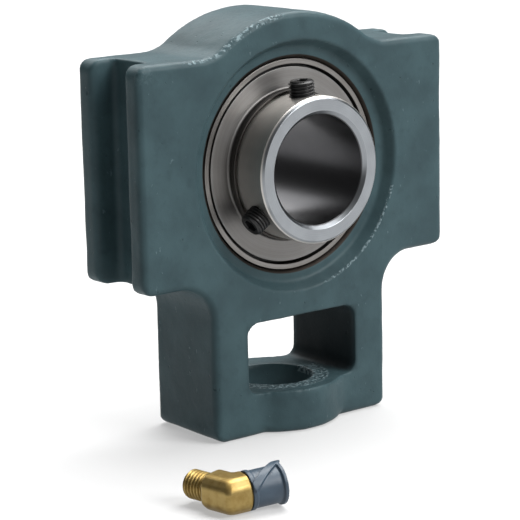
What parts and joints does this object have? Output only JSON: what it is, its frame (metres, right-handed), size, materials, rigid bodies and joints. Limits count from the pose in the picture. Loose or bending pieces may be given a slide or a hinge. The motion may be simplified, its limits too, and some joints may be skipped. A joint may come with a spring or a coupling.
{
  "type": "take-up bearing unit",
  "caption": "Cast take-up bearing unit: housing with guide grooves and an adjuster window, holding a self-aligning ball bearing insert locked by set screws, with a loose elbow grease fitting.",
  "frame": {"origin": "middle of the bearing, on the axis of the shaft bore", "axes": "+Y along the shaft towards the back, the set screws at -Y; +Z along the guide rails, away from the tail; +X to the right seen from the front"},
  "size_m": [0.1011, 0.0753, 0.0977],
  "materials": {
    "cast_paint": "grey-green enamel over a sand casting",
    "ring_steel": "ground bearing steel",
    "ball_steel": "polished",
    "cage_sheet": "pressed sheet",
    "seal_rubber": "moulded nitrile",
    "flinger_sheet": "pressed sheet, brushed in circles",
    "black_steel": "black oxide",
    "brass": "turned and milled",
    "nipple_steel": "zinc plated",
    "spring_wire": "bright wire",
    "cap_plastic": "soft moulded polythene"
  },
  "bodies": {
    "housing": {"housing": "cast_paint"},
    "outer_ring": {"outer_ring": "ring_steel", "front_seal": "seal_rubber", "rear_seal": "seal_rubber"},
    "inner_ring": {"inner_ring": "ring_steel", "front_flinger": "flinger_sheet", "rear_flinger": "flinger_sheet"},
    "cage": {"cage_front": "cage_sheet", "cage_rear": "cage_sheet", "cage_rivets": "cage_sheet"},
    "ball_1": {"ball_1": "ball_steel"},
    "ball_2": {"ball_2": "ball_steel"},
    "ball_3": {"ball_3": "ball_steel"},
    "ball_4": {"ball_4": "ball_steel"},
    "ball_5": {"ball_5": "ball_steel"},
    "ball_6": {"ball_6": "ball_steel"},
    "ball_7": {"ball_7": "ball_steel"},
    "ball_8": {"ball_8": "ball_steel"},
    "ball_9": {"ball_9": "ball_steel"},
    "set_screw_1": {"set_screw_1": "black_steel"},
    "set_screw_2": {"set_screw_2": "black_steel"},
    "grease_fitting": {"fitting_elbow": "brass", "nipple_head": "nipple_steel", "check_spring": "spring_wire"},
    "check_ball": {"check_ball": "ball_steel"},
    "fitting_cap": {"fitting_cap": "cap_plastic"}
  },
  "joints": [
    {"name": "bearing_align", "type": "hinge", "parent": "housing", "child": "outer_ring", "pos_m": [0, 0, 0], "axis": [1, 0, 0], "range_deg": [-3, 3]},
    {"name": "shaft_spin", "type": "hinge", "parent": "outer_ring", "child": "inner_ring", "pos_m": [0, 0, 0], "axis": [0, 1, 0], "continuous": true},
    {"name": "cage_orbit", "type": "hinge", "parent": "outer_ring", "child": "cage", "pos_m": [0, 0, 0], "axis": [0, 1, 0], "continuous": true},
    {"name": "ball_1_roll", "type": "hinge", "parent": "cage", "child": "ball_1", "pos_m": [0, 0, 0.01925], "axis": [0, 1, 0], "continuous": true},
    {"name": "ball_2_roll", "type": "hinge", "parent": "cage", "child": "ball_2", "pos_m": [0.01237, 0, 0.01475], "axis": [0, 1, 0], "continuous": true},
    {"name": "ball_3_roll", "type": "hinge", "parent": "cage", "child": "ball_3", "pos_m": [0.01896, 0, 0.00334], "axis": [0, 1, 0], "continuous": true},
    {"name": "ball_4_roll", "type": "hinge", "parent": "cage", "child": "ball_4", "pos_m": [0.01667, 0, -0.00962], "axis": [0, 1, 0], "continuous": true},
    {"name": "ball_5_roll", "type": "hinge", "parent": "cage", "child": "ball_5", "pos_m": [0.00658, 0, -0.01809], "axis": [0, 1, 0], "continuous": true},
    {"name": "ball_6_roll", "type": "hinge", "parent": "cage", "child": "ball_6", "pos_m": [-0.00658, 0, -0.01809], "axis": [0, 1, 0], "continuous": true},
    {"name": "ball_7_roll", "type": "hinge", "parent": "cage", "child": "ball_7", "pos_m": [-0.01667, 0, -0.00962], "axis": [0, 1, 0], "continuous": true},
    {"name": "ball_8_roll", "type": "hinge", "parent": "cage", "child": "ball_8", "pos_m": [-0.01896, 0, 0.00334], "axis": [0, 1, 0], "continuous": true},
    {"name": "ball_9_roll", "type": "hinge", "parent": "cage", "child": "ball_9", "pos_m": [-0.01237, 0, 0.01475], "axis": [0, 1, 0], "continuous": true},
    {"name": "set_screw_1_drive", "type": "slide", "parent": "inner_ring", "child": "set_screw_1", "axis": [-0.0698, 0, 0.9976], "range_m": [-0.0006, 0.002]},
    {"name": "set_screw_2_drive", "type": "slide", "parent": "inner_ring", "child": "set_screw_2", "axis": [-0.829, 0, -0.5592], "range_m": [-0.0006, 0.002]},
    {"name": "fitting_lift", "type": "slide", "parent": "housing", "child": "grease_fitting", "axis": [0, 0, 1], "range_m": [0, 0.06]},
    {"name": "cap_pull", "type": "slide", "parent": "grease_fitting", "child": "fitting_cap", "axis": [0.9741, -0.2168, 0.0644], "range_m": [0, 0.012]},
    {"name": "check_ball_press", "type": "slide", "parent": "grease_fitting", "child": "check_ball", "axis": [-0.9741, 0.2168, -0.0644], "range_m": [0, 0.0008], "stiffness_N_per_m": 100, "deforming": ["check_spring"]}
  ],
  "couplings": [
    {"joint": "cage_orbit", "follows": "shaft_spin", "ratio": 0.39688},
    {"joint": "ball_1_roll", "follows": "shaft_spin", "ratio": -2.3213},
    {"joint": "ball_2_roll", "follows": "shaft_spin", "ratio": -2.3213},
    {"joint": "ball_3_roll", "follows": "shaft_spin", "ratio": -2.3213},
    {"joint": "ball_4_roll", "follows": "shaft_spin", "ratio": -2.3213},
    {"joint": "ball_5_roll", "follows": "shaft_spin", "ratio": -2.3213},
    {"joint": "ball_6_roll", "follows": "shaft_spin", "ratio": -2.3213},
    {"joint": "ball_7_roll", "follows": "shaft_spin", "ratio": -2.3213},
    {"joint": "ball_8_roll", "follows": "shaft_spin", "ratio": -2.3213},
    {"joint": "ball_9_roll", "follows": "shaft_spin", "ratio": -2.3213}
  ]
}
